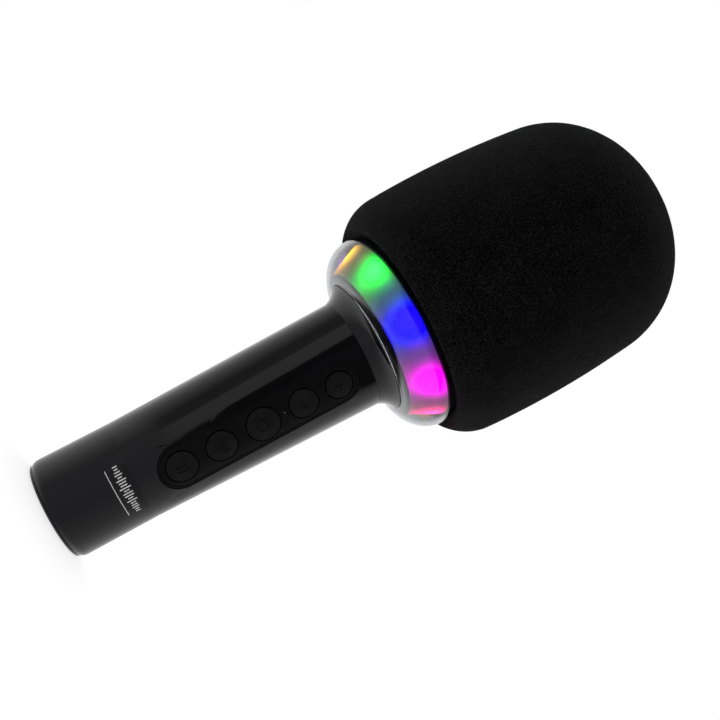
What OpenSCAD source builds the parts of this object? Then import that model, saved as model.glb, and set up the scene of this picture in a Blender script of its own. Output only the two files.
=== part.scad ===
// Handheld karaoke microphone with a lamp ring, a built-in loudspeaker and a pull-off
// foam windscreen. It stands upright on its flat base: Z runs along the handle to the
// head, the keypad faces -Y, and the origin is the centre of the base's under side.
// Every size is in millimetres.

/* [Overall] */
// Height from the base to the crown of the windscreen
total_h = 252; // [220:1:280]
// Handle radius over its straight lower stretch
base_r = 18.75; // [16:0.05:21]
// Height where the handle starts to widen
taper_z = 30; // [20:1:60]
// Handle radius at the neck
neck_r = 21.15; // [18:0.05:24]
// Height of the crease between handle and flare
neck_z = 119.6; // [110:0.1:130]
// Handle wall thickness
wall = 2.2; // [1.6:0.1:3]

/* [Flare and lamp ring] */
// Height of the seam between the flare and the lamp ring
seam_z = 125.4; // [120:0.1:135]
// Radius at that seam
seam_r = 26.4; // [24:0.1:30]
// Radius of the hollow flare arc
flare_arc_r = 8.76; // [7:0.01:14]
// Height of the lamp ring's upper edge
ring_top_z = 141.6; // [135:0.1:145]
// Radius of the lamp ring's upper edge
ring_top_r = 38.6; // [36:0.1:46]
// Radius of the lamp ring's rounded section
ring_arc_r = 12.9; // [11:0.1:20]
// Radius of the black bezel seen through the clear ring
bezel_r = 29.4; // [28:0.1:31]
// Wall of the clear ring
lens_t = 1.6; // [1.2:0.1:2.5]
// Number of lamps round the ring
led_count = 9; // [6:1:12]
// Angle of the first lamp, degrees
led_phase = 7.6; // [0:0.1:40]

/* [Windscreen] */
// Greatest radius of the foam
foam_r = 50.2; // [44:0.1:56]
// Height of that greatest radius
foam_wide_z = 183.2; // [170:0.1:195]
// Radius of the long side curve
foam_side_arc = 401.6; // [200:0.1:600]
// Radius of the shoulder curve
foam_shoulder_arc = 36.5; // [25:0.1:45]
// Radius of the crown curve
foam_crown_arc = 166.5; // [100:0.1:300]
// Radius of the lower corner curve
foam_corner_arc = 17.6; // [10:0.1:22]
// Radius and height of the outer rim
foam_rim = [42.8, 140.3]; // [38:0.1:150]

/* [Keypad] */
// Lower and upper centre heights of the tapered keypad panel
panel_z = [45.8, 107]; // [30:0.1:115]
// End radii of the panel
panel_end_r = [8.6, 7.5]; // [5:0.1:10]
// Key heights: mode, voice, power, minus, plus
key_z = [45.8, 60.8, 76.8, 92.6, 106.7]; // [30:0.1:115]
// Radii of the keys' grooves in the same order
key_r = [5.65, 5.6, 6.2, 5.45, 5.1]; // [4:0.05:7]
// Width of the groove round a key
key_gap = 0.5; // [0.3:0.05:0.8]
// Key travel
key_travel = 0.5; // [0.2:0.05:1]
// Height of the status light
status_z = 85.1; // [80:0.1:90]
// Depth of the key symbols
engrave_d = 0.3; // [0.2:0.05:0.5]
// Stroke width of the key symbols
stroke = 0.6; // [0.4:0.05:0.9]

/* [Loudspeaker and capsule] */
// Outer radius of the loudspeaker's flange
speaker_r = 27.4; // [24:0.1:30]
// Radius of the windscreen cage
cage_r = 36.8; // [32:0.1:38]
// Radius of the microphone capsule
capsule_r = 9.5; // [6:0.1:12]

/* [Battery] */
// Cell radius
cell_r = 9.25; // [9:0.05:9.5]
// Cell length
cell_l = 65; // [64:0.5:70]

/* [Hidden] */
$fn = 96;

// colours
gloss_black = [0.03, 0.03, 0.035];
matte_black = [0.06, 0.06, 0.065];
key_black = [0.075, 0.075, 0.08];
foam_black = [0.04, 0.04, 0.045];
board_green = [0.05, 0.25, 0.12];
metal = [0.72, 0.73, 0.75];
screw_metal = [0.45, 0.45, 0.47];
ferrite = [0.16, 0.16, 0.17];
copper = [0.72, 0.42, 0.22];
milky = [0.92, 0.92, 0.95];
smoke = [0.55, 0.56, 0.6, 0.35];

// small working gaps
seam_gap = 0.1;      // half the gap at a visible seam
fit_gap = 0.1;       // gap of a plug or spigot in its socket
body_gap = 0.3;      // gap between parts that move past each other
panel_gap = 0.12;    // gap round the keypad panel
screw_r = 0.95;      // shaft radius of the case screws
screw_hole_r = 1;    // hole for them
head_r = 1.9;        // their head radius
head_h = 0.9;        // their head height

// handle
inner_r = base_r - wall;
corner_r = 4;                        // rounding above the base cap
corner_z = 3.6;                      // height of that rounding's centre
tube_z0 = 1.15;                      // lower end of the tube
tube_z1 = neck_z - seam_gap;         // upper end of the tube
taper = (neck_r - base_r) / (neck_z - taper_z);
function handle_r(z) = z < taper_z ? base_r : base_r + taper * (z - taper_z);

// base cap
cap_r = 17.75;       // rim radius
cap_rim_h = 1;       // visible rim height
cap_floor_h = 2.4;   // floor thickness over the plug
cap_chamfer = 0.4;
skirt_in_r = 14.7;
skirt_top = 10;
leg_x = 11.2;        // screw legs, each side of the axis
leg_y = -3.9;
leg_r = 2.4;
counterbore = 1.1;
usb_w = 8.94;        // receptacle width
usb_h = 3.26;        // receptacle height
usb_wall = 0.3;
usb_z0 = 0.5;
usb_board_z = 7.9;
usb_board_t = 1;
usb_post_y = 7.2;
usb_post_r = 1.8;

// boards
keypad_board_y = -12.5;    // front face
keypad_board_t = 1;
keypad_board_w = 16;
keypad_board_z = [40, 112.5];
main_board_y = -6.4;       // front face
main_board_t = 1.2;
main_board_w = 25;
main_board_z = [24, 112.5];
board_hole_x = 6.2;
board_hole_z = [53.3, 99.65];
small_screw_r = 0.8;
small_hole_r = 0.85;

// switches
switch_w = 4.6;
switch_h = 1.6;
plunger_r = 1;
plunger_hole_r = 1.08;
plunger_back_y = -13.5;
plunger_front_y = -15.2;
plunger_hole_d = 1.3;
stem_r = 1.6;

// keypad layers, measured inward from the handle surface
panel_recess = 0.25;
panel_t = 1.2;
panel_back = panel_recess + panel_t;
ledge_w = 0.9;
key_recess = 0.1;
flange_front = panel_back + 0.3;
flange_back = flange_front + 0.9;
flange_lip = 0.7;
lip_inset = [0.9, 1.2];    // moulded line inside the panel's edge
lip_depth = 0.2;
light_pipe_r = 0.6;

// carrier
spine_y = [-4.4, -3.4];
spine_w = 30.6;
spine_z = [17, 115];
carrier_r = 16.1;
rib_t = 1.6;
cell_y = 6.2;
cell_z0 = 22;
contact_t = 0.4;
saddle_z = [36, 70];
cell_wall_z = [19, 88.4];  // undersides of the two end walls

// neck collar
collar_bore_r = 17;
collar_skirt_r = 18.65;
collar_skirt_z = 115.2;
collar_web_z = [116.2, 118.2];
collar_top = seam_z - seam_gap;
wire_hole_r = 7.5;
head_screw_r = 20.2;       // circle of the head screws
head_screw_z0 = 121.8;

// head base
spigot_r = [22.2, 24];
bezel_in_r = 24.2;
floor_z = [seam_z + seam_gap, 127.1];
step_z = [128.4, 129.2];
step_r = 26.8;
core_r = [23.6, 25.4];
plate_z = [139.7, 141.3];
plate_r = 36.85;
bezel_z = [127.2, 128.25];
strip_z = [131.7, 137.7];
strip_t = 0.28;
led_z = 135.7;
led_w = 3.5;
led_t = 1.3;
diffuser_r = [29.5, 35.9];   // outside radius at its lower and upper edge
diffuser_z = [128.35, 139.5];
diffuser_arc_r = 82;
diffuser_t = 1.1;
cage_screw_r = 34.3;
capsule_wire_r = 31.8;
capsule_wire_a = 15;
core_hole_z = 138.3;
led_hole_z = 130.3;
led_wire_a = 62;
speaker_wire_a = 45;
bore_wire_r = 15.9;

// loudspeaker
gasket_t = 0.5;
flange_t = 0.8;
gasket_top = plate_z[1] + gasket_t;
flange_top = gasket_top + flange_t;
speaker_screw_r = 25.6;
basket_top_r = 23.2;
basket_low_r = 15.4;
basket_low_z = 132;
basket_t = 0.8;
top_plate_z = [128.4, 130];
top_plate_r = [5.4, 14];
magnet_z = [122.4, 128.4];
magnet_r = [7, 14.5];
yoke_z = 120.4;
yoke_r = 13.8;
pole_r = 4.4;
coil_r = [4.65, 4.8, 5.1];  // former inside, former outside, winding outside
coil_z = [127, 127.5, 130.5, 135.2];
cone_r = [4.8, 18.8];
cone_z = [134.6, flange_top];
cone_t = 0.5;
dust_r = 5.6;
dust_z = 135.6;
dust_t = 0.4;
roll_r = 20.6;
roll_w = [1.6, 2];
spider_r = [4.85, 14.4];
spider_z = 132.4;
spider_t = 0.35;
spider_wave = 0.35;
spider_turns = 4;

// cage and capsule
cage_t = 2;
cage_dome_z = 202;
cage_slots = 12;          // windows round the cage in each tier
// lower edge, upper edge and width of the windows, tier by tier
cage_tiers = [[145, 160, 15], [162, 178, 15], [180, 195.5, 15], [199.5, 212, 15],
    [214.5, 224, 11.5], [227, 232.5, 6]];
cage_foot_r = 32.6;
cage_foot_h = 2;
bridge_z = [196.5, 198.5];
bridge_ring_r = [8, 13.5];
bridge_arms = 3;
bridge_arm_w = 4;
mount_z = [198.5, 200, 206];
mount_r = 12.5;
capsule_h = 13;
cavity_r = cage_r + 0.5;

function arc_centre(p, q, r, side) =
    let (d = q - p, n = norm(d), h = sqrt(r * r - n * n / 4))
    (p + q) / 2 + side * h * [-d[1], d[0]] / n;
function angle_to(p, q) = atan2(q[1] - p[1], q[0] - p[0]);
function arc_pts(c, r, a0, a1, n) =
    [for (i = [0:n]) c + r * [cos(a0 + (a1 - a0) * i / n), sin(a0 + (a1 - a0) * i / n)]];
// the point at distance a from c and b from d, to the left of the line c-d
function meet(c, a, d, b) =
    let (e = d - c, n = norm(e), u = (a * a - b * b + n * n) / (2 * n), h = sqrt(a * a - u * u))
    c + (u * e + h * [-e[1], e[0]]) / n;
function unit(v) = v / norm(v);
function bend_normal(p, i) =
    i == len(p) - 1 ? unit(p[i] - p[i - 1]) : unit(unit(p[i] - p[i - 1]) + unit(p[i + 1] - p[i]));
function slide(ring, d, q, n) = [for (v = ring) v + d * ((q - v) * n) / (d * n)];
function carry(p, i, ring) = i == len(p) - 1 ? [ring] :
    concat([ring], carry(p, i + 1, slide(ring, p[i + 1] - p[i], p[i + 1], bend_normal(p, i + 1))));
function polar(r, a, z) = [r * cos(a), r * sin(a), z];

flare_centre = arc_centre([neck_r, neck_z], [seam_r, seam_z], flare_arc_r, -1);
ring_z0 = seam_z + seam_gap;
ring_centre = arc_centre([seam_r, ring_z0], [ring_top_r, ring_top_z], ring_arc_r, 1);
diffuser_centre = arc_centre([diffuser_r[0], diffuser_z[0]], [diffuser_r[1], diffuser_z[1]],
    diffuser_arc_r, 1);
crown_c = [0, total_h - foam_crown_arc];
side_c = [foam_r - foam_side_arc, foam_wide_z];
shoulder_c = meet(side_c, foam_side_arc - foam_shoulder_arc,
    crown_c, foam_crown_arc - foam_shoulder_arc);
corner_c = meet(side_c, foam_side_arc - foam_corner_arc, foam_rim, foam_corner_arc);

// ---------------------------------------------------------------- shared shapes

module band2d(z, r) {
    translate([r[0], z[0]]) square([r[1] - r[0], z[1] - z[0]]);
}

module ring(z, r) {
    rotate_extrude() band2d(z, r);
}

module post(x, y, z, r) {
    translate([x, y, z[0]]) cylinder(h = z[1] - z[0], r = r);
}

// a cylinder along Y, centred on x and z
module y_post(x, z, y, r) {
    translate([x, y[1], z]) rotate([90, 0, 0]) cylinder(h = y[1] - y[0], r = r);
}

module block(x, y, z) {
    translate([x[0], y[0], z[0]]) cube([x[1] - x[0], y[1] - y[0], z[1] - z[0]]);
}

// pan-head screw standing on z = 0, shaft downward, with a cross recess
module screw(r, l, hr, hh) {
    slot_w = 0.35 * hr;
    difference() {
        union() {
            cylinder(h = hh, r = hr);
            translate([0, 0, -l]) cylinder(h = l + hh / 2, r = r);
        }
        for (a = [0, 90]) rotate(a) {
            translate([-0.65 * hr, -slot_w / 2, hh * 0.45]) cube([1.3 * hr, slot_w, hh]);
        }
    }
}

// solid of the handle, shrunk inward
module handle_skin(inset) {
    rotate_extrude() polygon([[0, 0], [base_r - inset, 0], [base_r - inset, taper_z],
        [neck_r - inset, neck_z], [0, neck_z]]);
}

// tapered slot outline in x and z, its flanks tangent to both round ends
module panel2d(grow) {
    r = panel_end_r + [grow, grow];
    lean = asin((r[0] - r[1]) / (panel_z[1] - panel_z[0]));
    polygon(concat(arc_pts([0, panel_z[0]], r[0], -180 - lean, lean, 28),
        arc_pts([0, panel_z[1]], r[1], lean, 180 - lean, 28)));
}

module to_front(depth) {
    rotate([90, 0, 0]) linear_extrude(height = depth) children();
}

module panel_prism(grow) {
    to_front(base_r + 10) panel2d(grow);
}

// the layer between two depths under the handle's surface
module skin_layer(outer, inner) {
    difference() {
        handle_skin(outer);
        handle_skin(inner);
    }
}

module ring_fill2d(inset, z) {
    intersection() {
        union() {
            translate(ring_centre) circle(r = ring_arc_r - inset, $fn = 240);
            band2d([ring_centre[1] - ring_arc_r + inset, ring_top_z], [0, ring_centre[0]]);
        }
        band2d(z, [bezel_in_r, ring_top_r + 2]);
    }
}

// a wire: a ten-sided ring carried from bend to bend, mitred at each
module wire_run(points, r) {
    n = 10;
    t = unit(points[1] - points[0]);
    a = unit(cross(t, abs(t[2]) < 0.9 ? [0, 0, 1] : [1, 0, 0]));
    b = cross(t, a);
    first = [for (k = [0:n - 1]) points[0] + r * (cos(k * 360 / n) * a + sin(k * 360 / n) * b)];
    rings = carry(points, 0, first);
    m = len(points);
    polyhedron(points = [for (ring = rings, v = ring) v], faces = concat(
        [[for (k = [0:n - 1]) k], [for (k = [n - 1:-1:0]) (m - 1) * n + k]],
        [for (i = [0:m - 2], k = [0:n - 1])
            [i * n + k, (i + 1) * n + k, (i + 1) * n + (k + 1) % n, i * n + (k + 1) % n]]));
}

// ---------------------------------------------------------------- base

module base_cap() {
    color(gloss_black) difference() {
        union() {
            rotate_extrude() polygon([[0, 0], [cap_r - cap_chamfer, 0], [cap_r, cap_chamfer],
                [cap_r, cap_rim_h], [inner_r - fit_gap, cap_rim_h],
                [inner_r - fit_gap, skirt_top], [skirt_in_r, skirt_top],
                [skirt_in_r, cap_floor_h], [0, cap_floor_h]]);
            for (s = [-1, 1]) post(0, s * usb_post_y, [cap_floor_h / 2, usb_board_z], usb_post_r);
        }
        for (s = [-1, 1]) {
            post(0, s * usb_post_y, [3.4, usb_board_z + 1], screw_hole_r);
            post(s * leg_x, leg_y, [-1, cap_floor_h + 1], screw_hole_r);
            post(s * leg_x, leg_y, [-1, counterbore], head_r + 0.2);
        }
        translate([0, 0, -1]) linear_extrude(height = cap_floor_h + 2) usb_outline(fit_gap);
    }
}

module usb_outline(grow) {
    r = usb_h / 2 + grow;
    w = usb_w - usb_h;
    translate([-w / 2, -r]) square([w, 2 * r]);
    for (s = [-1, 1]) translate([s * w / 2, 0]) circle(r = r);
}

module cap_screws() {
    color(screw_metal) for (s = [-1, 1]) {
        translate([s * leg_x, leg_y, counterbore]) rotate([180, 0, 0]) {
            screw(screw_r, 10, head_r, head_h);
        }
    }
}

module usb_port() {
    color(metal) translate([0, 0, usb_z0]) difference() {
        linear_extrude(height = usb_board_z - usb_z0) usb_outline(0);
        translate([0, 0, -1]) linear_extrude(height = usb_board_z - usb_z0 - 0.2) {
            usb_outline(-usb_wall);
        }
    }
}

module usb_tongue() {
    tongue_w = 6.6;
    tongue_t = 0.7;
    color(matte_black) block([-tongue_w / 2, tongue_w / 2], [-tongue_t / 2, tongue_t / 2],
        [usb_z0 + 1, usb_board_z - 1.2]);
}

module usb_board() {
    color(board_green) difference() {
        block([-8.3, 8.3], [-9, 9], [usb_board_z, usb_board_z + usb_board_t]);
        for (s = [-1, 1]) post(0, s * usb_post_y, [usb_board_z - 1, usb_board_z + 3], screw_hole_r);
    }
}

module usb_board_screws() {
    color(screw_metal) for (s = [-1, 1]) {
        translate([0, s * usb_post_y, usb_board_z + usb_board_t]) {
            screw(screw_r, 4.5, head_r, head_h);
        }
    }
}

// ---------------------------------------------------------------- handle

module handle_tube() {
    color(gloss_black) difference() {
        rotate_extrude() {
            difference() {
                polygon([[0, corner_z], [base_r, corner_z], [base_r, taper_z],
                    [handle_r(tube_z1), tube_z1], [0, tube_z1]]);
                polygon([[0, corner_z - 1], [inner_r, corner_z - 1], [inner_r, taper_z],
                    [handle_r(tube_z1) - wall, tube_z1 + 1], [0, tube_z1 + 1]]);
            }
            intersection() {
                translate([base_r - corner_r, corner_z]) circle(r = corner_r);
                band2d([tube_z0, corner_z], [inner_r, base_r]);
            }
        }
        difference() {
            panel_prism(0);
            handle_skin(panel_back);
        }
        panel_prism(-ledge_w);
    }
}

module keypad_panel() {
    color(matte_black) difference() {
        intersection() {
            panel_prism(-panel_gap);
            skin_layer(panel_recess, panel_back);
        }
        for (i = [0:4]) y_post(0, key_z[i], [-base_r - 5, 0], key_r[i] + key_gap / 2);
        y_post(0, status_z, [-base_r - 5, 0], light_pipe_r + 0.05);
        difference() {
            panel_prism(-lip_inset[0]);
            panel_prism(-lip_inset[1]);
            handle_skin(panel_recess + lip_depth);
        }
    }
}

module key(i) {
    z = key_z[i];
    cap_r = key_r[i] - key_gap / 2;
    reach = [-base_r - 5, 0];
    stem_end = handle_r(z) - flange_back + 0.4;
    difference() {
        union() {
            intersection() {
                y_post(0, z, reach, cap_r);
                skin_layer(key_recess, flange_back);
            }
            intersection() {
                y_post(0, z, reach, key_r[i] + flange_lip);
                skin_layer(flange_front, flange_back);
            }
            y_post(0, z, [-stem_end, plunger_front_y], stem_r);
        }
        difference() {
            translate([0, 0, z]) to_front(base_r + 5) children();
            handle_skin(key_recess + engrave_d);
        }
    }
}

module arc2d(r, a0, a1) {
    difference() {
        circle(r = r + stroke / 2);
        circle(r = r - stroke / 2);
        reach = 3 * r;
        polygon(concat([[0, 0]], arc_pts([0, 0], reach, a1, a0 + 360, 6)));
    }
}

module note2d() {
    translate([-0.9, -1.5]) circle(r = 0.75);
    translate([1.1, -1.2]) circle(r = 0.75);
    translate([-0.75, -1.5]) square([stroke, 3.3]);
    translate([1.25, -1.2]) square([stroke, 3.3]);
    polygon([[-0.75, 1], [1.85, 1.3], [1.85, 2.1], [-0.75, 1.8]]);
}

module singer2d() {
    translate([-0.5, 0.9]) circle(r = 0.9);
    intersection() {
        translate([-0.5, -2.1]) circle(r = 1.9);
        translate([-2.5, -2.1]) square([4, 2]);
    }
    for (r = [1.9, 3]) translate([-0.5, 0.9]) arc2d(r, -28, 28);
}

module power2d() {
    arc2d(2.1, 125, 415);
    polygon([[-0.8, 0.3], [-0.8, 2.7], [1.3, 1.5]]);
}

module minus2d() {
    square([3.6, stroke], center = true);
}

module plus2d() {
    minus2d();
    rotate(90) minus2d();
}

module key_mode() {
    color(key_black) key(0) note2d();
}

module key_voice() {
    color(key_black) key(1) singer2d();
}

module key_power() {
    color(key_black) key(2) power2d();
}

module key_minus() {
    color(key_black) key(3) minus2d();
}

module key_plus() {
    color(key_black) key(4) plus2d();
}

module plunger(i) {
    color(matte_black) y_post(0, key_z[i], [plunger_front_y, plunger_back_y], plunger_r);
}

// ---------------------------------------------------------------- boards and carrier

module board_holes(y) {
    for (x = [-board_hole_x, board_hole_x], z = board_hole_z) y_post(x, z, y, small_hole_r);
}

module keypad_board() {
    color(board_green) difference() {
        block([-keypad_board_w / 2, keypad_board_w / 2],
            [keypad_board_y, keypad_board_y + keypad_board_t], keypad_board_z);
        board_holes([keypad_board_y - 1, keypad_board_y + 2]);
    }
}

module switch_bodies() {
    color(metal) for (z = key_z) difference() {
        block([-switch_w / 2, switch_w / 2], [keypad_board_y - switch_h, keypad_board_y],
            [z - switch_w / 2, z + switch_w / 2]);
        y_post(0, z, [keypad_board_y - switch_h - 1, keypad_board_y - switch_h + plunger_hole_d],
            plunger_hole_r);
    }
}

module status_light_pipe() {
    color(milky) intersection() {
        y_post(0, status_z, [-base_r - 5, keypad_board_y - 0.8], light_pipe_r);
        handle_skin(panel_recess);
    }
}

module status_led() {
    color(milky) block([-0.8, 0.8], [keypad_board_y - 0.7, keypad_board_y],
        [status_z - 0.4, status_z + 0.4]);
}

module board_spacers() {
    color(milky) difference() {
        for (x = [-board_hole_x, board_hole_x], z = board_hole_z) {
            y_post(x, z, [keypad_board_y + keypad_board_t, main_board_y], 2);
        }
        board_holes([keypad_board_y, 0]);
    }
}

module board_header() {
    color(matte_black) block([-5, 5], [keypad_board_y + keypad_board_t, main_board_y],
        [75, 77.6]);
}

module board_screws() {
    shaft_l = 9.6;
    color(screw_metal) for (x = [-board_hole_x, board_hole_x], z = board_hole_z) {
        translate([x, keypad_board_y, z]) rotate([90, 0, 0]) screw(small_screw_r, shaft_l, 1.5, 0.8);
    }
}

module main_board() {
    color(board_green) difference() {
        block([-main_board_w / 2, main_board_w / 2],
            [main_board_y, main_board_y + main_board_t], main_board_z);
        board_holes([main_board_y - 1, main_board_y + 2]);
    }
}

// a part standing on the front of the main board
module on_board(x, z, w, l, h) {
    block([x - w / 2, x + w / 2], [main_board_y - h, main_board_y], [z - l / 2, z + l / 2]);
}

module chips() {
    color(matte_black) {
        on_board(0, 44, 6, 6, 1);
        on_board(-1, 62, 7, 7, 0.9);
        on_board(7.5, 82, 5, 4, 1.4);
        on_board(-7.5, 36, 5, 5, 3);
    }
}

module shield_can() {
    color(metal) on_board(0, 90, 12, 10, 1.8);
}

module capacitors() {
    color(metal) for (p = [[7.5, 38], [7.5, 68], [-8, 72], [-8, 81.5]]) {
        y_post(p[0], p[1], [main_board_y - 4.3, main_board_y], 2.5);
    }
}

module connectors() {
    color(milky) for (x = [-5, 5]) on_board(x, 28.5, 6, 5, 3.8);
}

module carrier() {
    color(matte_black) difference() {
        union() {
            block([-spine_w / 2, spine_w / 2], spine_y, spine_z);
            intersection() {
                union() {
                    for (z = cell_wall_z) post(0, 0, [z, z + rib_t], carrier_r);
                    for (z = saddle_z) post(0, 0, [z, z + rib_t], carrier_r);
                }
                block([-20, 20], [spine_y[0] + 0.5, 20], [0, 120]);
            }
            for (s = [-1, 1]) {
                post(s * leg_x, leg_y, [cap_floor_h + 0.2, spine_z[0] + 1], leg_r);
                post(s * leg_x, leg_y, [spine_z[1] - 1, collar_web_z[0] - 0.1], leg_r);
            }
            for (x = [-board_hole_x, board_hole_x], z = board_hole_z) {
                y_post(x, z, [main_board_y + main_board_t, spine_y[1] + 0.8], 2);
            }
        }
        for (z = saddle_z) post(0, cell_y, [z - 1, z + rib_t + 1], cell_r + 0.2);
        for (z = cell_wall_z) post(0, cell_y, [z - 1, z + rib_t + 1], 1.5);
        for (s = [-1, 1]) {
            post(s * leg_x, leg_y, [0, 12], screw_hole_r);
            post(s * leg_x, leg_y, [107, 120], screw_hole_r);
        }
        board_holes([main_board_y, spine_y[1] + 0.6]);
        block([-2.5, 2.5], [spine_y[0] - 1, spine_y[1] + 1], [92, 98]);
    }
}

module battery_cell() {
    color([0.1, 0.35, 0.65]) {
        post(0, cell_y, [cell_z0, cell_z0 + cell_l - 0.6], cell_r);
        post(0, cell_y, [cell_z0 + cell_l - 1, cell_z0 + cell_l], 3);
    }
}

module battery_contacts() {
    low = cell_wall_z[0] + rib_t;
    top = cell_wall_z[1];
    color(metal) {
        post(0, cell_y, [low, low + contact_t], 5);
        post(0, cell_y, [low - rib_t - 0.8, low], 1.2);
        post(0, cell_y, [low, cell_z0], 3);
        post(0, cell_y, [top - contact_t, top], 4.5);
        post(0, cell_y, [top, top + rib_t + 0.8], 1.2);
        post(0, cell_y, [cell_z0 + cell_l, top], 2);
    }
}

// ---------------------------------------------------------------- neck and head base

module neck_collar() {
    color(gloss_black) difference() {
        rotate_extrude() {
            difference() {
                polygon([[collar_bore_r, neck_z], [neck_r, neck_z], [seam_r, collar_top],
                    [collar_bore_r, collar_top]]);
                translate(flare_centre) circle(r = flare_arc_r);
            }
            band2d([collar_skirt_z, neck_z], [collar_bore_r, collar_skirt_r]);
            band2d(collar_web_z, [wire_hole_r, collar_bore_r + 0.5]);
        }
        for (s = [-1, 1]) post(s * leg_x, leg_y, [collar_skirt_z, neck_z], screw_hole_r);
        for (a = [90, 210, 330]) rotate(a) {
            post(head_screw_r, 0, [head_screw_z0, seam_z + 1], screw_hole_r);
        }
    }
}

module collar_screws() {
    color(screw_metal) for (s = [-1, 1]) {
        translate([s * leg_x, leg_y, collar_web_z[1]]) screw(screw_r, 8, head_r, head_h);
    }
}

module ring_bezel() {
    color(gloss_black) rotate_extrude() intersection() {
        ring_fill2d(lens_t + 0.1, bezel_z);
        band2d(bezel_z, [bezel_in_r, bezel_r]);
    }
}

module head_base() {
    color(matte_black) difference() {
        rotate_extrude() {
            band2d(floor_z, [collar_bore_r, spigot_r[1]]);
            band2d([floor_z[0], step_z[1]], spigot_r);
            band2d(step_z, [spigot_r[0], step_r]);
            band2d([step_z[0], plate_z[1]], core_r);
            band2d(plate_z, [core_r[0], plate_r]);
        }
        for (a = [90, 210, 330]) rotate(a) {
            post(head_screw_r, 0, [floor_z[0] - 1, floor_z[1] + 0.5], screw_hole_r);
        }
        for (a = [0:90:270]) rotate(a) {
            post(cage_screw_r, 0, [plate_z[0] - 1, plate_z[1] + 1], screw_hole_r);
            rotate(30) post(speaker_screw_r, 0, [plate_z[0], plate_z[1] + 1], screw_hole_r);
        }
        rotate(capsule_wire_a) {
            post(capsule_wire_r, 0, [plate_z[0] - 0.5, plate_z[1] + 1], 1.6);
            translate([core_r[0] - 1, 0, core_hole_z]) rotate([0, 90, 0]) cylinder(h = 4, r = 1.3);
        }
        rotate(led_wire_a) translate([core_r[0] - 1, 0, led_hole_z]) rotate([0, 90, 0]) {
            cylinder(h = 4, r = 0.9);
        }
    }
}

module head_screws() {
    color(screw_metal) for (a = [90, 210, 330]) rotate(a) {
        translate([head_screw_r, 0, floor_z[1]]) screw(screw_r, 4.6, head_r, head_h);
    }
}

module led_strip() {
    color(milky) ring(strip_z, [core_r[1] + 0.02, core_r[1] + strip_t]);
}

module leds() {
    x0 = core_r[1] + strip_t;
    color([1, 0.98, 0.85]) for (i = [0:led_count - 1]) rotate(led_phase + i * 360 / led_count) {
        block([x0, x0 + led_t], [-led_w / 2, led_w / 2], [led_z - led_w / 2, led_z + led_w / 2]);
    }
}

module light_diffuser() {
    color(milky) rotate_extrude() intersection() {
        translate(diffuser_centre) difference() {
            circle(r = diffuser_arc_r, $fn = 480);
            circle(r = diffuser_arc_r - diffuser_t, $fn = 480);
        }
        band2d(diffuser_z, [core_r[1], ring_top_r]);
    }
}

module light_ring() {
    color(smoke) rotate_extrude() difference() {
        ring_fill2d(0, [ring_z0, ring_top_z]);
        ring_fill2d(lens_t, [ring_z0, ring_top_z + 1]);
    }
}

// ---------------------------------------------------------------- loudspeaker

module speaker_gasket() {
    color(foam_black) difference() {
        ring([plate_z[1], gasket_top], [core_r[0] + 0.2, speaker_r]);
        for (a = [30:90:300]) rotate(a) {
            post(speaker_screw_r, 0, [plate_z[1] - 1, gasket_top + 1], screw_hole_r);
        }
    }
}

module speaker_frame() {
    window = [10, 5.4];
    color([0.2, 0.2, 0.21]) difference() {
        rotate_extrude() polygon([[basket_top_r - basket_t, flange_top], [speaker_r, flange_top],
            [speaker_r, gasket_top], [basket_top_r, gasket_top], [basket_low_r, basket_low_z],
            [basket_low_r, top_plate_z[1]], [10, top_plate_z[1]],
            [10, top_plate_z[1] + basket_t], [basket_low_r - basket_t, top_plate_z[1] + basket_t],
            [basket_low_r - basket_t, basket_low_z]]);
        for (a = [30:90:300]) rotate(a) {
            post(speaker_screw_r, 0, [gasket_top - 1, flange_top + 1], screw_hole_r);
        }
        for (a = [0:60:300]) rotate(a) translate([0, -window[0] / 2, basket_low_z + 1.6]) {
            cube([basket_top_r + 3, window[0], window[1]]);
        }
    }
}

module speaker_top_plate() {
    color(metal) ring(top_plate_z, top_plate_r);
}

module speaker_magnet() {
    color(ferrite) ring(magnet_z, magnet_r);
}

module speaker_yoke() {
    color(metal) {
        post(0, 0, [yoke_z, magnet_z[0]], yoke_r);
        post(0, 0, [yoke_z, top_plate_z[1]], pole_r);
    }
}

module speaker_terminals() {
    color([0.75, 0.6, 0.35]) rotate(speaker_wire_a) block([20.9, 22.1], [-3, 3], [134, 138.4]);
}

module speaker_screws() {
    color(screw_metal) for (a = [30:90:300]) rotate(a) {
        translate([speaker_screw_r, 0, flange_top]) screw(screw_r, 2.7, 1.6, head_h);
    }
}

module speaker_cone() {
    color([0.08, 0.08, 0.09]) rotate_extrude() polygon([[cone_r[0], cone_z[0]],
        [cone_r[0] + cone_t, cone_z[0]], [cone_r[1], cone_z[1]],
        [cone_r[1] - cone_t, cone_z[1]], [cone_r[0], cone_z[0] + cone_t]]);
}

module voice_coil() {
    color(copper) {
        ring([coil_z[0], cone_z[0]], [coil_r[0], coil_r[1]]);
        ring([coil_z[1], coil_z[2]], [coil_r[1] - 0.05, coil_r[2]]);
    }
}

module dust_cap() {
    dome_r = dust_r * 1.25;
    centre_z = dust_z - sqrt(dome_r * dome_r - dust_r * dust_r);
    color([0.08, 0.08, 0.09]) rotate_extrude() intersection() {
        translate([0, centre_z]) difference() {
            circle(r = dome_r);
            circle(r = dome_r - dust_t);
        }
        band2d([dust_z, dust_z + dome_r], [0, dome_r]);
    }
}

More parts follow.
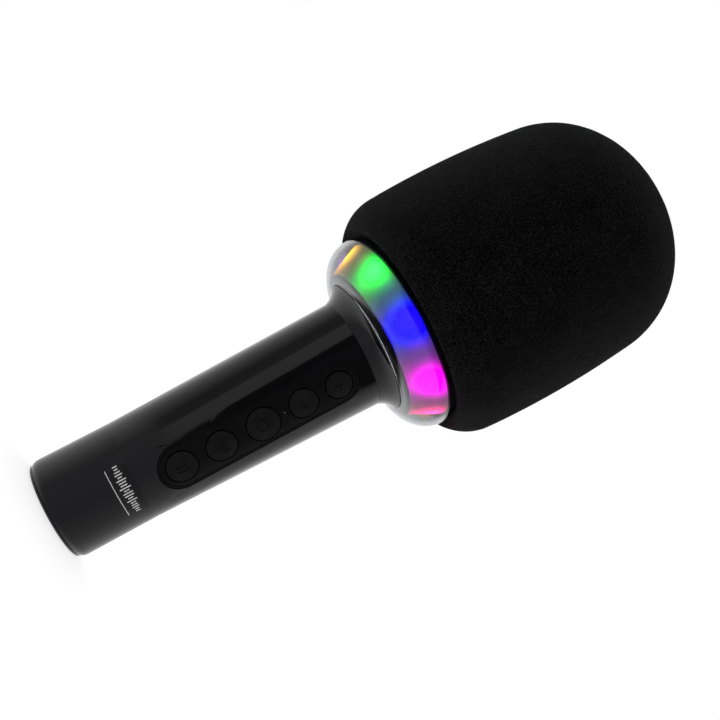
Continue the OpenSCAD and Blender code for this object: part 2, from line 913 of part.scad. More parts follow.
module speaker_surround() {
    t = roll_w[1] - roll_w[0];
    color(matte_black) rotate_extrude() {
        intersection() {
            translate([roll_r, flange_top]) difference() {
                circle(r = roll_w[1]);
                circle(r = roll_w[0]);
            }
            band2d([flange_top, flange_top + 5], [0, speaker_r]);
        }
        band2d([flange_top, flange_top + t], [roll_r + roll_w[0] + 0.1, speaker_screw_r - 2]);
        band2d([flange_top, flange_top + t], [cone_r[1] - 1.2, roll_r - roll_w[0] - 0.1]);
    }
}

module speaker_spider() {
    n = 8 * spider_turns;
    step = (spider_r[1] - spider_r[0]) / n;
    wave = [for (i = [0:n]) [spider_r[0] + step * i, spider_wave * sin(i * 45) + spider_z]];
    color([0.8, 0.65, 0.3]) rotate_extrude() polygon(concat(wave,
        [for (i = [n:-1:0]) wave[i] + [0, spider_t]]));
}

// ---------------------------------------------------------------- cage, capsule, windscreen

module cage2d() {
    band2d([plate_z[1], cage_dome_z], [cage_r - cage_t, cage_r]);
    intersection() {
        translate([0, cage_dome_z]) difference() {
            circle(r = cage_r);
            circle(r = cage_r - cage_t);
        }
        band2d([cage_dome_z, cage_dome_z + cage_r], [0, cage_r]);
    }
}

module inner_cage() {
    reach = 2 * cage_r + 10;
    color(matte_black) difference() {
        rotate_extrude() {
            cage2d();
            band2d([plate_z[1], plate_z[1] + cage_foot_h], [cage_foot_r, cage_r]);
        }
        for (t = cage_tiers, i = [0:cage_slots / 2 - 1]) rotate(i * 360 / cage_slots) {
            translate([-reach / 2, -t[2] / 2, t[0]]) cube([reach, t[2], t[1] - t[0]]);
        }
        for (a = [0:90:270]) rotate(a) {
            post(cage_screw_r, 0, [plate_z[1] - 1, plate_z[1] + 3], screw_hole_r);
            post(cage_screw_r, 0, [plate_z[1] + cage_foot_h, cage_tiers[0][0] + 1], 1.9);
        }
    }
}

module cage_screws() {
    color(screw_metal) for (a = [0:90:270]) rotate(a) {
        translate([cage_screw_r, 0, plate_z[1] + cage_foot_h]) screw(screw_r, 3.4, 1.7, head_h);
    }
}

module capsule_bridge() {
    color(matte_black) {
        ring(bridge_z, bridge_ring_r);
        ring([mount_z[0] - 0.5, mount_z[1]], [7, mount_r]);
        ring([mount_z[0] - 0.5, mount_z[2]], [capsule_r + 0.05, mount_r]);
        for (i = [0:bridge_arms - 1]) rotate(capsule_wire_a + i * 360 / bridge_arms) {
            block([bridge_ring_r[1] - 1, cage_r - cage_t - 0.2],
                [-bridge_arm_w / 2, bridge_arm_w / 2], bridge_z);
        }
    }
}

module mic_capsule() {
    top = mount_z[1] + capsule_h;
    color(metal) difference() {
        post(0, 0, [mount_z[1], top], capsule_r);
        post(0, 0, [top - 0.8, top + 1], capsule_r - 1.2);
        for (a = [0:60:300]) rotate(a) post(4.6, 0, [top - 3, top], 1.3);
        post(0, 0, [top - 3, top], 1.3);
    }
}

module foam_windscreen() {
    a_rim = angle_to(corner_c, foam_rim);
    a_corner = angle_to(side_c, corner_c);
    a_side = angle_to(side_c, shoulder_c);
    a_shoulder = angle_to(crown_c, shoulder_c);
    seat_z = ring_top_z + body_gap;
    lip = [[39.4, seat_z], [41.5, 140.4], [42.3, 140]];
    color(foam_black) rotate_extrude() difference() {
        polygon(concat([[0, seat_z]], lip,
            arc_pts(corner_c, foam_corner_arc, a_rim, a_corner, 7),
            arc_pts(side_c, foam_side_arc, a_corner, a_side, 8),
            arc_pts(shoulder_c, foam_shoulder_arc, a_side, a_shoulder, 12),
            arc_pts(crown_c, foam_crown_arc, a_shoulder, 90, 4)));
        band2d([seat_z - 1, cage_dome_z], [0, cavity_r]);
        translate([0, cage_dome_z]) circle(r = cavity_r);
    }
}

// ---------------------------------------------------------------- wiring

module wires() {
    r = 0.45;
    under_yoke_z = 119.75;
    board_front = main_board_y - r;
    color([0.55, 0.08, 0.08]) for (k = [0, 1]) {
        x = 2.2 + 1.6 * k;
        side = 1 - 2 * k;
        a = capsule_wire_a + 1.5 * side;
        wire_run([[0, 0.65 * side, mount_z[1]], [0, 0.65 * side, bridge_z[0] - 2],
            polar(cage_r - cage_t - 1, a, bridge_z[0] - 4),
            polar(cage_r - cage_t - 1, a, 148), polar(capsule_wire_r, a, 145.5),
            polar(capsule_wire_r, a, core_hole_z), polar(21.8, a, core_hole_z),
            polar(16.6, a + side, basket_low_z - 0.4), polar(bore_wire_r, a + side, 128),
            polar(bore_wire_r, a + side, under_yoke_z), [x, -5.6, under_yoke_z], [x, -5.6, 115],
            [x, board_front - 0.4, 112], [x, board_front, 106]], r);
    }
    color([0.8, 0.8, 0.8]) for (k = [0, 1]) {
        x = -0.4 + 1.3 * k;
        a = speaker_wire_a - 4 * k + 2;
        wire_run([polar(21.5, a, 134), polar(21.3, a, 132.5), polar(17.4, a, 129.4),
            polar(bore_wire_r, a, 126), polar(bore_wire_r, a, under_yoke_z),
            [x, -5.6, under_yoke_z], [x, -5.6, 115], [x, board_front - 0.4, 112],
            [x, board_front, 107]], r);
    }
    color([0.1, 0.1, 0.5]) for (k = [0, 1]) {
        x = -3.2 + 1.3 * k;
        side = 1 - 2 * k;
        a = led_wire_a + 2.4 * side;
        wire_run([polar(26.1, led_wire_a + 0.95 * side, strip_z[0] + 0.8),
            polar(26.1, led_wire_a + 0.95 * side, led_hole_z),
            polar(22.4, led_wire_a + 0.95 * side, led_hole_z), polar(18, a, 128.8),
            polar(bore_wire_r, a, 126), polar(bore_wire_r, a, under_yoke_z),
            [x, -5.6, under_yoke_z], [x, -5.6, 115], [x, board_front - 0.4, 112],
            [x, board_front, 107]], 0.3);
    }
    color([0.7, 0.1, 0.1]) {
        for (x = [4.2, 5.8]) wire_run([[x, -3, usb_board_z + usb_board_t], [x, -3, 12.5],
            [x, -8.4, 15], [x, -8.4, 26]], r);
        wire_run([[0, cell_y, cell_wall_z[0] - 0.8], [0, cell_y, 16], [-5, -1, 14],
            [-5, -8.4, 14.6], [-5, -8.4, 26]], r);
        wire_run([[0, cell_y, cell_wall_z[1] + rib_t + 0.8], [0, cell_y, 92],
            [0, 0, 94.5], [0, main_board_y + main_board_t, 95]], r);
    }
}

// ---------------------------------------------------------------- assembly

base_cap();
cap_screws();
usb_port();
usb_tongue();
usb_board();
usb_board_screws();
handle_tube();
keypad_panel();
key_mode();
key_voice();
key_power();
key_minus();
key_plus();
plunger(0);  // plunger_mode
plunger(1);  // plunger_voice
plunger(2);  // plunger_power
plunger(3);  // plunger_minus
plunger(4);  // plunger_plus
keypad_board();
switch_bodies();
status_light_pipe();
status_led();
board_spacers();
board_header();
board_screws();
main_board();
chips();
shield_can();
capacitors();
connectors();
carrier();
battery_cell();
battery_contacts();
neck_collar();
collar_screws();
ring_bezel();
head_base();
head_screws();
led_strip();
leds();
light_diffuser();
light_ring();
speaker_gasket();
speaker_frame();
speaker_top_plate();
speaker_magnet();
speaker_yoke();
speaker_terminals();
speaker_screws();
speaker_cone();
voice_coil();
dust_cap();
speaker_surround();
speaker_spider();
inner_cage();
cage_screws();
capsule_bridge();
mic_capsule();
foam_windscreen();
wires();
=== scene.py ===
import math

import bpy
import numpy as np
from mathutils import Matrix, Vector


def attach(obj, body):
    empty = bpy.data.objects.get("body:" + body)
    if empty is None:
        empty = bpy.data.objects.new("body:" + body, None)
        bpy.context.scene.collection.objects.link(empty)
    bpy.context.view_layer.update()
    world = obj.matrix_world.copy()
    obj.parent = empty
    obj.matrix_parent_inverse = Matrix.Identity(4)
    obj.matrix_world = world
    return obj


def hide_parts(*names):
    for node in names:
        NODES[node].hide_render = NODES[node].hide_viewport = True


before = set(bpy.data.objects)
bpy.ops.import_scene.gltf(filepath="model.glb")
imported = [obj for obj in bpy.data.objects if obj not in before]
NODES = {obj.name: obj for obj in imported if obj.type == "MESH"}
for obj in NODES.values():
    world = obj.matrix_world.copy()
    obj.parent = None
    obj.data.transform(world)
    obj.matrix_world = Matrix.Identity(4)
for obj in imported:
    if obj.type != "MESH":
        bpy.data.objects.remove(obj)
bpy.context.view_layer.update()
MM = 0.001

# ------------------------------------------------------------------ sizes shared with the CAD, in mm
BASE_R = 18.75
FOAM_TOP = 252.0
CAVITY_R = 37.3
DOME_Z = 202.0
LED_COUNT = 9
LED_PHASE = 7.6
LED_Z = 136.2
DIFFUSER_R = 33.0           # mean outside radius of the diffuser

# ------------------------------------------------------------------ lit ring
SPOT_R = 5.4                # size of the bright spot over a lamp, mm
SPOT_GLOW = 11.0            # brightness at the middle of a spot
AMBIENT_GLOW = 0.5          # brightness between the spots
GLOW_GAIN = 1.15
HUE_HOLD = 9.0              # degrees either side of a lamp over which its hue stays pure


# ------------------------------------------------------------------ material helpers
def new_material(name):
    m = bpy.data.materials.new(name)
    m.use_nodes = True
    nt = m.node_tree
    shader = nt.nodes["Principled BSDF"]
    return m, nt, shader


def add(nt, kind, **inputs):
    n = nt.nodes.new(kind)
    for key, value in inputs.items():
        n.inputs[key.replace("_", " ")].default_value = value
    return n


def object_coords(nt):
    return nt.nodes.new("ShaderNodeTexCoord").outputs["Object"]


def noise(nt, coords, scale, detail=3.0, rough=0.55):
    n = add(nt, "ShaderNodeTexNoise", Scale=scale, Detail=detail, Roughness=rough)
    nt.links.new(coords, n.inputs["Vector"])
    return n.outputs["Fac"]


def voronoi(nt, coords, scale, feature="F1", randomness=1.0):
    n = add(nt, "ShaderNodeTexVoronoi", Scale=scale, Randomness=randomness)
    n.feature = feature
    nt.links.new(coords, n.inputs["Vector"])
    return n.outputs["Distance"]


def span(nt, fac, lo, hi, in_lo=0.0, in_hi=1.0):
    n = add(nt, "ShaderNodeMapRange", From_Min=in_lo, From_Max=in_hi, To_Min=lo, To_Max=hi)
    nt.links.new(fac, n.inputs["Value"])
    return n.outputs["Result"]


def math_node(nt, op, a, b=None, c=None):
    n = nt.nodes.new("ShaderNodeMath")
    n.operation = op
    for socket, value in zip(n.inputs, (a, b, c)):
        if value is None:
            continue
        if isinstance(value, (int, float)):
            socket.default_value = value
        else:
            nt.links.new(value, socket)
    return n.outputs[0]


def ramp(nt, fac, stops, mode="LINEAR"):
    n = nt.nodes.new("ShaderNodeValToRGB")
    r = n.color_ramp
    r.interpolation = mode
    while len(r.elements) > 1:
        r.elements.remove(r.elements[-1])
    r.elements[0].position, r.elements[0].color = stops[0][0], stops[0][1]
    for pos, col in stops[1:]:
        r.elements.new(pos).color = col
    nt.links.new(fac, n.inputs["Fac"])
    return n.outputs["Color"]


def mix_color(nt, fac, a, b, blend="MIX"):
    n = nt.nodes.new("ShaderNodeMix")
    n.data_type = "RGBA"
    n.blend_type = blend
    for i, value in ((0, fac), (6, a), (7, b)):
        if isinstance(value, (int, float)):
            n.inputs[i].default_value = value
        elif isinstance(value, tuple):
            n.inputs[i].default_value = value
        else:
            nt.links.new(value, n.inputs[i])
    return n.outputs[2]


def rgba(v):
    return (v[0], v[1], v[2], 1.0)


def bump(nt, shader, height, distance, strength=1.0):
    n = add(nt, "ShaderNodeBump", Strength=strength, Distance=distance)
    nt.links.new(height, n.inputs["Height"])
    nt.links.new(n.outputs["Normal"], shader.inputs["Normal"])
    return n


def moulded(name, color, rough, spread=0.08, metal=0.0, tint=0.2, grain=1400.0, depth=0.00002,
            **sockets):
    """A moulded, plated or printed surface: two scales of noise in colour, roughness and bump."""
    m, nt, s = new_material(name)
    co = object_coords(nt)
    broad = noise(nt, co, 60.0, 4.0)
    fine = noise(nt, co, grain, 2.0)
    dark = tuple(c * (1 - tint) for c in color)
    light = tuple(min(1.0, c * (1 + tint)) for c in color)
    nt.links.new(mix_color(nt, broad, rgba(dark), rgba(light)), s.inputs["Base Color"])
    both = math_node(nt, "MULTIPLY_ADD", fine, 0.5, math_node(nt, "MULTIPLY", broad, 0.5))
    nt.links.new(span(nt, both, max(0.0, rough - spread), rough + spread, 0.3, 0.7),
                 s.inputs["Roughness"])
    s.inputs["Metallic"].default_value = metal
    for key, value in sockets.items():
        s.inputs[key.replace("_", " ")].default_value = value
    if depth:
        bump(nt, s, fine, depth)
    return m


# ------------------------------------------------------------------ materials
def piano_black():
    """Polished black: almost no diffuse, faint orange peel, hair scratches and duller smears."""
    m, nt, s = new_material("piano_black")
    co = object_coords(nt)
    s.inputs["Base Color"].default_value = rgba((0.0012, 0.0012, 0.0015))
    s.inputs["IOR"].default_value = 1.5
    s.inputs["Specular IOR Level"].default_value = 0.5
    smears = noise(nt, co, 38.0, 5.0, 0.6)
    hair = nt.nodes.new("ShaderNodeMapping")
    hair.inputs["Scale"].default_value = (1400.0, 1400.0, 90.0)
    nt.links.new(co, hair.inputs["Vector"])
    scratches = noise(nt, hair.outputs["Vector"], 1.0, 2.0)
    rough = math_node(nt, "MULTIPLY_ADD", span(nt, scratches, 0.0, 1.0, 0.62, 0.8), 0.05,
                      span(nt, smears, 0.045, 0.1, 0.35, 0.7))
    nt.links.new(rough, s.inputs["Roughness"])
    peel = noise(nt, co, 210.0, 2.0)
    bump(nt, s, peel, 0.000012)
    return m


def foam():
    """Open-cell foam: near black, fine pores in bump and in colour, with painted shade in the pores
    and painted glints as bright speckles on the cell walls, a little sheen at grazing angles.
    """
    m, nt, s = new_material("foam_black")
    co = object_coords(nt)
    pores = voronoi(nt, co, 1900.0)
    fine = noise(nt, co, 2600.0, 3.0, 0.7)
    broad = noise(nt, co, 90.0, 4.0)
    open_cell = math_node(nt, "MULTIPLY_ADD", pores, 0.75, math_node(nt, "MULTIPLY", fine, 0.5))
    # colour over a broad random tone: the dark pores are painted shade and the bright speckles on the
    # cell walls are painted glints
    pore_shade_glint_tone = math_node(nt, "MULTIPLY_ADD", broad, 0.25, open_cell)
    col = ramp(nt, pore_shade_glint_tone, [(0.3, rgba((0.0002, 0.0002, 0.0002))),
                          (0.6, rgba((0.0004, 0.0004, 0.0005))),
                          (0.95, rgba((0.012, 0.012, 0.0126)))])
    nt.links.new(col, s.inputs["Base Color"])
    s.inputs["Roughness"].default_value = 0.95
    s.inputs["Specular IOR Level"].default_value = 0.02
    s.inputs["Sheen Weight"].default_value = 0.08
    s.inputs["Sheen Roughness"].default_value = 0.13
    s.inputs["Sheen Tint"].default_value = rgba((0.85, 0.87, 0.92))
    bump(nt, s, open_cell, 0.0007, 1.0)
    return m


def rubber(name, base, rough, grain=2200.0):
    """Matte black rubber with faint dust in colour and roughness and a fine grain."""
    m, nt, s = new_material(name)
    co = object_coords(nt)
    fine = noise(nt, co, grain, 2.0)
    dust = noise(nt, co, 160.0, 6.0, 0.7)
    col = ramp(nt, dust, [(0.4, rgba((base, base, base * 1.05))),
                          (0.75, rgba((base * 1.8, base * 1.8, base * 1.85)))])
    nt.links.new(col, s.inputs["Base Color"])
    nt.links.new(span(nt, dust, rough - 0.06, rough + 0.08, 0.3, 0.7), s.inputs["Roughness"])
    s.inputs["Specular IOR Level"].default_value = 0.16
    bump(nt, s, fine, 0.00003, 0.7)
    return m


def lamp_colours():
    """Hues of the lamps round the ring, by angle in degrees from +X."""
    return [(-152.4, (0.02, 0.62, 0.05)), (-112.4, (0.004, 0.0, 1.0)), (-72.4, (0.85, 0.0, 0.7)),
            (-32.4, (0.8, 0.03, 0.2)), (7.6, (0.6, 0.12, 0.01)), (47.6, (0.25, 0.4, 0.01)),
            (87.6, (0.0, 0.4, 0.4)), (127.6, (0.35, 0.03, 0.8)), (167.6, (0.7, 0.3, 0.01))]


def opal():
    """The opal diffuser, lit from behind by nine lamps: hue by angle, a hot spot over each lamp."""
    m, nt, s = new_material("opal_lit")
    co = object_coords(nt)
    xyz = nt.nodes.new("ShaderNodeSeparateXYZ")
    nt.links.new(co, xyz.inputs[0])
    x, y, z = xyz.outputs
    turn = math_node(nt, "ARCTAN2", y, x)
    fac = span(nt, turn, 0.0, 1.0, -math.pi, math.pi)
    stops = sorted(((a + side + 180.0) / 360.0, rgba(c))
                   for a, c in lamp_colours() for side in (-HUE_HOLD, HUE_HOLD))
    gap = 1.0 - stops[-1][0] + stops[0][0]
    w = (1.0 - stops[-1][0]) / gap
    wrap = tuple(p * (1 - w) + q * w for p, q in zip(stops[-1][1], stops[0][1]))
    stops = [(0.0, wrap)] + stops + [(1.0, wrap)]
    hue = ramp(nt, fac, stops, "EASE")
    pitch = 2 * math.pi / LED_COUNT
    local = math_node(nt, "SUBTRACT", turn, math.radians(LED_PHASE - 180 / LED_COUNT))
    local = math_node(nt, "MODULO", math_node(nt, "ADD", local, 4 * math.pi), pitch)
    local = math_node(nt, "SUBTRACT", local, pitch / 2)
    along = math_node(nt, "MULTIPLY", local, DIFFUSER_R * MM)
    up = math_node(nt, "SUBTRACT", z, LED_Z * MM)
    d2 = math_node(nt, "ADD", math_node(nt, "MULTIPLY", along, along),
                   math_node(nt, "MULTIPLY", up, up))
    spot = math_node(nt, "EXPONENT", math_node(nt, "MULTIPLY", d2, -1.0 / (SPOT_R * MM) ** 2))
    fade = span(nt, z, 1.0, 0.5, 137.5 * MM, 139.5 * MM)
    glow = math_node(nt, "MULTIPLY_ADD", spot, SPOT_GLOW, AMBIENT_GLOW)
    glow = math_node(nt, "MULTIPLY", glow, fade)
    cloud = noise(nt, co, 300.0, 2.0)
    glow = math_node(nt, "MULTIPLY", glow, span(nt, cloud, 0.93, 1.07, 0.3, 0.7))
    nt.links.new(hue, s.inputs["Emission Color"])
    nt.links.new(math_node(nt, "MULTIPLY", glow, GLOW_GAIN), s.inputs["Emission Strength"])
    nt.links.new(mix_color(nt, math_node(nt, "MINIMUM", math_node(nt, "MULTIPLY", spot, 2.2), 1.0),
                           rgba((0.5, 0.49, 0.52)), rgba((0.0, 0.0, 0.0))), s.inputs["Base Color"])
    s.inputs["Specular IOR Level"].default_value = 0.1
    nt.links.new(span(nt, cloud, 0.32, 0.42, 0.3, 0.7), s.inputs["Roughness"])
    bump(nt, s, cloud, 0.00001)
    return m


def smoky_clear():
    """Clear plastic with a smoky tint, slightly uneven in tint, roughness and surface."""
    m, nt, s = new_material("smoky_clear")
    co = object_coords(nt)
    haze = noise(nt, co, 45.0, 4.0)
    nt.links.new(mix_color(nt, haze, rgba((0.34, 0.35, 0.37)), rgba((0.4, 0.41, 0.43))),
                 s.inputs["Base Color"])
    s.inputs["Transmission Weight"].default_value = 1.0
    s.inputs["IOR"].default_value = 1.46
    nt.links.new(span(nt, haze, 0.02, 0.05, 0.3, 0.7), s.inputs["Roughness"])
    bump(nt, s, noise(nt, co, 220.0, 2.0), 0.000008)
    return m


PIANO = piano_black()
PANEL = rubber("panel_rubber", 0.0022, 0.5)
KEYS = rubber("key_rubber", 0.006, 0.42, 3000.0)
FOAM = foam()
PLASTIC = moulded("black_plastic", (0.014, 0.014, 0.015), 0.5, grain=1500.0)
BOARD = moulded("circuit_board", (0.012, 0.12, 0.045), 0.35, tint=0.35, grain=900.0)
STEEL = moulded("bright_steel", (0.62, 0.63, 0.65), 0.3, metal=1.0, tint=0.08)
SCREWS = moulded("screw_steel", (0.35, 0.35, 0.37), 0.38, metal=1.0, tint=0.12)
WHITE = moulded("white_plastic", (0.75, 0.74, 0.7), 0.45, tint=0.06)
CHIP = moulded("chip_epoxy", (0.016, 0.016, 0.018), 0.6)
CAN = moulded("capacitor_can", (0.55, 0.56, 0.58), 0.35, metal=1.0, tint=0.08)
WRAP = moulded("battery_wrap", (0.015, 0.08, 0.3), 0.25, tint=0.12, grain=500.0)
LED = moulded("led_white", (0.9, 0.88, 0.7), 0.3, tint=0.05)
ACRYLIC = moulded("clear_acrylic", (0.9, 0.92, 0.95), 0.06, spread=0.03, depth=0.0,
                  Transmission_Weight=1.0, IOR=1.49)
POWDER = moulded("speaker_steel", (0.03, 0.03, 0.032), 0.42, grain=2500.0)
ZINC = moulded("plated_steel", (0.5, 0.5, 0.52), 0.33, metal=1.0)
FERRITE = moulded("ferrite", (0.045, 0.045, 0.05), 0.62, grain=1800.0)
COPPER = moulded("copper", (0.62, 0.27, 0.11), 0.3, metal=1.0)
PAPER = moulded("paper_cone", (0.018, 0.018, 0.02), 0.85, grain=1100.0, depth=0.00006)
RUBBER = moulded("soft_rubber", (0.012, 0.012, 0.012), 0.6)
SPIDER = moulded("spider_cloth", (0.5, 0.34, 0.1), 0.7, grain=1600.0, depth=0.00005)
GASKET = moulded("gasket_foam", (0.015, 0.015, 0.015), 0.9, depth=0.0001)
WIRE = moulded("wire_sleeve", (0.32, 0.03, 0.03), 0.4)
OPAL = opal()
SMOKY = smoky_clear()
PRINT = moulded("white_print", (0.8, 0.8, 0.8), 0.45, tint=0.04, grain=3500.0, depth=0.000004)

LOOKS = {
    "base_cap": PIANO, "handle_tube": PIANO, "neck_collar": PIANO, "ring_bezel": PIANO,
    "keypad_panel": PANEL, "key_mode": KEYS, "key_voice": KEYS, "key_power": KEYS,
    "key_minus": KEYS, "key_plus": KEYS, "usb_board": BOARD, "keypad_board": BOARD,
    "main_board": BOARD, "usb_port": STEEL, "switch_bodies": STEEL, "shield_can": STEEL,
    "battery_contacts": STEEL, "mic_capsule": STEEL, "board_spacers": WHITE, "connectors": WHITE,
    "led_strip": WHITE, "chips": CHIP, "capacitors": CAN, "battery_cell": WRAP, "leds": LED,
    "status_led": LED, "status_light_pipe": ACRYLIC, "speaker_frame": POWDER,
    "speaker_top_plate": ZINC, "speaker_yoke": ZINC, "speaker_magnet": FERRITE,
    "voice_coil": COPPER, "speaker_terminals": COPPER, "speaker_cone": PAPER, "dust_cap": PAPER,
    "speaker_surround": RUBBER, "speaker_spider": SPIDER, "speaker_gasket": GASKET,
    "wires": WIRE, "light_diffuser": OPAL, "light_ring": SMOKY,
}


def look_of(name):
    if name in LOOKS:
        return LOOKS[name]
    return SCREWS if name.endswith("_screws") else PLASTIC


for node_name, node in NODES.items():
    node.data.materials.clear()
    node.data.materials.append(look_of(node_name))


# ------------------------------------------------------------------ foam windscreen
def arc(centre, r, a0, a1, n):
    t = np.radians(np.linspace(a0, a1, n))
    return np.stack([centre[0] + r * np.cos(t), centre[1] + r * np.sin(t)], 1)


def meet(c, a, d, b):
    e = np.subtract(d, c)
    n = np.hypot(*e)
    u = (a * a - b * b + n * n) / (2 * n)
    h = math.sqrt(a * a - u * u)
    return np.asarray(c) + (u * e + h * np.array([-e[1], e[0]])) / n


def angle_to(p, q):
    return math.degrees(math.atan2(q[1] - p[1], q[0] - p[0]))


def foam_outline():
    """The foam's section in r and z: crown, shoulder, side, lower corner, lip, seat and inside."""
    crown_r, shoulder_r, side_r, corner_r = 166.5, 36.5, 401.6, 17.6
    crown = np.array([0.0, FOAM_TOP - crown_r])
    side = np.array([50.2 - side_r, 183.2])
    rim = np.array([42.8, 140.3])
    shoulder = meet(side, side_r - shoulder_r, crown, crown_r - shoulder_r)
    corner = meet(side, side_r - corner_r, rim, corner_r)
    a_rim, a_corner = angle_to(corner, rim), angle_to(side, corner)
    a_side, a_shoulder = angle_to(side, shoulder), angle_to(crown, shoulder)
    outside = np.concatenate([
        arc(crown, crown_r, 89.95, a_shoulder, 22)[:-1],
        arc(shoulder, shoulder_r, a_shoulder, a_side, 84)[:-1],
        arc(side, side_r, a_side, a_corner, 100)[:-1],
        arc(corner, corner_r, a_corner, a_rim, 28)])
    under = np.array([[42.6, 140.12], [42.3, 140.02], [41.9, 140.1], [41.5, 140.4], [40.9, 140.85],
                      [40.2, 141.35], [39.7, 141.7], [39.3, 141.9], [38.2, 141.9], [37.5, 142.05],
                      [37.3, 142.6]])
    wall = np.stack([np.full(30, CAVITY_R), np.linspace(144, DOME_Z, 30)], 1)
    dome = arc((0.0, DOME_Z), CAVITY_R, 0, 89.9, 26)[1:]
    return outside, np.concatenate([under, wall, dome])


HASH = (73856093, 19349663, 83492791)


def lattice(points, cell, seed):
    """Smooth value noise at the points, with the given cell size."""
    rng = np.random.default_rng(seed)
    table = rng.random(4096)
    q = points / cell
    base = np.floor(q).astype(np.int64)
    f = q - base
    f = f * f * (3 - 2 * f)
    total = np.zeros(len(points))
    for dx in (0, 1):
        for dy in (0, 1):
            for dz in (0, 1):
                corner = base + (dx, dy, dz)
                mixed = corner[:, 0] * HASH[0] ^ corner[:, 1] * HASH[1] ^ corner[:, 2] * HASH[2]
                w = np.ones(len(points))
                for k, far in enumerate((dx, dy, dz)):
                    w = w * (f[:, k] if far else 1 - f[:, k])
                total += w * table[mixed % len(table)]
    return total * 2 - 1


def make_foam():
    """The foam's section turned round the axis and pushed in a little, unevenly."""
    outside, rest = foam_outline()
    profile = np.concatenate([outside, rest])
    turns = 420
    t = np.linspace(0, 2 * math.pi, turns, endpoint=False)
    tangent = np.gradient(profile, axis=0)
    normal = np.stack([-tangent[:, 1], tangent[:, 0]], 1)
    normal /= np.linalg.norm(normal, axis=1)[:, None]
    r, z = profile[:, 0][:, None], profile[:, 1][:, None]
    grid = np.stack([r * np.cos(t), r * np.sin(t), z + 0 * t], 2)
    push = np.stack([normal[:, 0][:, None] * np.cos(t), normal[:, 0][:, None] * np.sin(t),
                     normal[:, 1][:, None] + 0 * t], 2)
    flat = grid.reshape(-1, 3)
    rough = (0.02 * lattice(flat, 1.15, 3) + 0.02 * lattice(flat, 2.6, 5)
             + 0.10 * lattice(flat, 14.0, 9))
    amount = np.ones(len(profile))              # full outside, less at the crown's pole and inside
    amount[len(outside) + 4:] = 0.25
    amount[:3] = 0.3
    rough = rough.reshape(len(profile), turns) * amount[:, None]
    grid = grid + push * np.minimum(rough, 0)[:, :, None]
    verts = grid.reshape(-1, 3) * MM
    rows, cols = len(profile), turns
    i = np.arange(rows - 1)[:, None] * cols
    j = np.arange(cols)[None, :]
    k = (j + 1) % cols
    quads = np.stack([i + j, i + cols + j, i + cols + k, i + k], 2).reshape(-1, 4)
    mesh = bpy.data.meshes.new("foam_skin")
    faces = [tuple(q) for q in quads.tolist()]
    top = list(range(cols))
    last = [(rows - 1) * cols + c for c in range(cols)][::-1]
    mesh.from_pydata(verts.tolist(), [], faces + [tuple(top), tuple(last)])
    mesh.update()
    for p in mesh.polygons:
        p.use_smooth = True
    mesh.materials.append(FOAM)
    o = bpy.data.objects.new("foam_skin", mesh)
    bpy.context.collection.objects.link(o)
    return o


foam_piece = make_foam()
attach(foam_piece, "windscreen")
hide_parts("foam_windscreen")


# ------------------------------------------------------------------ generic white mark on the handle
MARK_ANGLE = -95.9          # degrees round the handle from +X
MARK_Z = 26.2               # mid height of the bars


def patch(verts, faces, x0, x1, z0, z1, centre_a, lift=0.03):
    """A thin printed bar wrapped on the handle: x along the surface, z up."""
    steps = max(2, int((x1 - x0) / 0.5) + 1)
    start = len(verts)
    for depth in (0.0, 1.0):
        r = BASE_R + lift * (0.3 + 0.7 * depth)
        for zz in (z0, z1):
            for s in range(steps):
                a = centre_a + (x0 + (x1 - x0) * s / (steps - 1)) / BASE_R
                verts.append((r * math.cos(a) * MM, r * math.sin(a) * MM, zz * MM))
    low_in, high_in, low, high = (start + n * steps for n in range(4))
    for s in range(steps - 1):
        faces += [(low + s, low + s + 1, high + s + 1, high + s),
                  (low_in + s + 1, low_in + s, high_in + s, high_in + s + 1),
                  (low_in + s, low_in + s + 1, low + s + 1, low + s),
                  (high + s, high + s + 1, high_in + s + 1, high_in + s)]
    e = steps - 1
    faces += [(low_in, low, high, high_in), (low + e, low_in + e, high_in + e, high + e)]


def make_mark():
    """Nineteen thin upright bars of uneven height over one long line."""
    verts, faces = [], []
    a = math.radians(MARK_ANGLE)
    count = 19
    for i in range(count):
        u = (i - (count - 1) / 2) / ((count - 1) / 2)
        h = 0.55 + 1.5 * math.cos(u * 1.4) * (0.62 + 0.38 * math.cos(i * 2.4))
        patch(verts, faces, i * 1.0 - 9.2, i * 1.0 - 8.8, MARK_Z - h, MARK_Z + h, a)
    patch(verts, faces, -9.2, 9.2, 22.6, 22.85, a)
    mesh = bpy.data.meshes.new("printed_mark")
    mesh.from_pydata(verts, [], faces)
    mesh.update()
    mesh.materials.append(PRINT)
    o = bpy.data.objects.new("printed_mark", mesh)
    bpy.context.collection.objects.link(o)
    return o


mark = make_mark()
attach(mark, "microphone")


# ------------------------------------------------------------------ stage, lights and camera
def stage_material(name, color, rough=0.9, emission=0.0):
    m, nt, s = new_material(name)
    s.inputs["Base Color"].default_value = rgba(color)
    s.inputs["Roughness"].default_value = rough
    s.inputs["Specular IOR Level"].default_value = 0.1
    if emission:
        s.inputs["Emission Color"].default_value = rgba((1, 1, 1))
        s.inputs["Emission Strength"].default_value = emission
    return m


def sheet_object(name, corners, material):
    mesh = bpy.data.meshes.new(name)
    mesh.from_pydata([tuple(c) for c in corners], [], [(0, 1, 2, 3)])
    mesh.update()
    mesh.materials.append(material)
    o = bpy.data.objects.new(name, mesh)
    bpy.context.collection.objects.link(o)
    return o


FLOOR = stage_material("pale_floor", (0.9, 0.9, 0.9), 0.8, 0.68)
floor = sheet_object("floor", [(-6, -6, 0), (6, -6, 0), (6, 6, 0), (-6, 6, 0)], FLOOR)
floor.visible_glossy = False


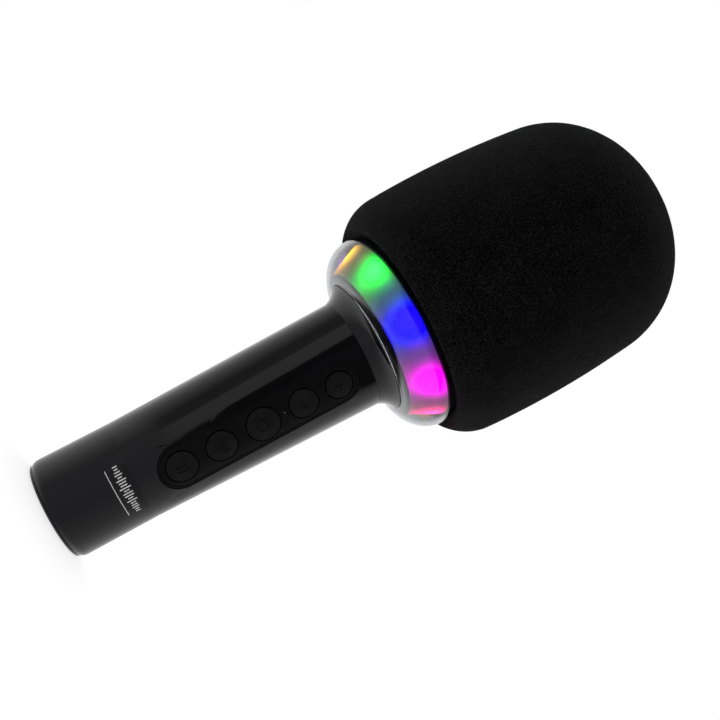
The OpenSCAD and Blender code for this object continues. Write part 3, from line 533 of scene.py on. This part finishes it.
def studio_world():
    """White behind and beside the object, a dim room in front of it, a pale table below."""
    world = bpy.data.worlds.new("studio")
    bpy.context.scene.world = world
    world.use_nodes = True
    nt = world.node_tree
    shade = nt.nodes["Background"]
    way = nt.nodes.new("ShaderNodeTexCoord").outputs["Generated"]
    xyz = nt.nodes.new("ShaderNodeSeparateXYZ")
    nt.links.new(way, xyz.inputs[0])
    x, y, z = xyz.outputs
    back = math_node(nt, "MULTIPLY", y, -1.0)
    turn = math_node(nt, "MULTIPLY", math_node(nt, "ARCTAN2", x, back), 180 / math.pi)
    skew = math_node(nt, "MULTIPLY", z, -60.0)
    fac = span(nt, turn, 0.0, 1.0, -180.0, 180.0)
    wall_fac = span(nt, math_node(nt, "SUBTRACT", turn, skew), 0.0, 1.0, -180.0, 180.0)

    def around(fac, stops):
        return ramp(nt, fac, [((a + 180.0) / 360.0, (v, v, v * tint, 1.0)) for a, v, tint in stops])

    # stops: degrees round from -Y toward +X, brightness, blue tint
    wall = around(wall_fac, [
        (-180, 1.0, 1), (-162, 1.0, 1), (-150, 0.85, 1), (-118, 0.5, 1), (-96, 0.2, 1),
        (-76, 0.24, 1), (-73, 0.5, 1), (-48, 0.5, 1), (-45, 0.06, 1.1), (-30, 0.05, 1.1),
        (-27, 0.075, 1.1), (62, 0.06, 1), (70, 0.4, 1), (82, 0.6, 1), (106, 0.75, 1),
        (118, 1.0, 1), (180, 1.0, 1)])
    table = around(fac, [
        (-180, 1.0, 1), (-125, 0.85, 1), (-80, 0.36, 1.06), (0, 0.32, 1.08), (50, 0.5, 1.03),
        (90, 0.8, 1), (150, 1.0, 1), (180, 1.0, 1)])
    sky = around(fac, [
        (-180, 1.0, 1), (-160, 1.0, 1), (-100, 0.5, 1), (-60, 0.1, 1), (60, 0.1, 1),
        (104, 0.5, 1), (118, 1.0, 1), (180, 1.0, 1)])
    high = span(nt, z, 0.0, 1.0, 0.25, 0.9)
    level = span(nt, z, 0.0, 1.0, -0.078, -0.066)
    upper = mix_color(nt, high, wall, sky)
    nt.links.new(mix_color(nt, level, table, upper), shade.inputs["Color"])
    shade.inputs["Strength"].default_value = 1.0


studio_world()

cam_data = bpy.data.cameras.new("camera")
cam_data.lens = 43.13
cam_data.sensor_width = 36.0
cam_data.clip_start = 0.01
cam_data.clip_end = 50.0
cam = bpy.data.objects.new("camera", cam_data)
bpy.context.collection.objects.link(cam)
eye = Vector((-0.11913, -0.29635, 0.0528))
right = Vector((0.36226, -0.35170, 0.8632))
forward = Vector((0.37425, 0.90308, 0.2108))
forward.normalize()
up = right.cross(forward).normalized()
right = forward.cross(up).normalized()
turn = Matrix((right, up, -forward)).transposed().to_4x4()
cam.matrix_world = Matrix.Translation(eye) @ turn
bpy.context.scene.camera = cam

view = bpy.context.scene.view_settings
view.view_transform = "Standard"
view.look = "None"
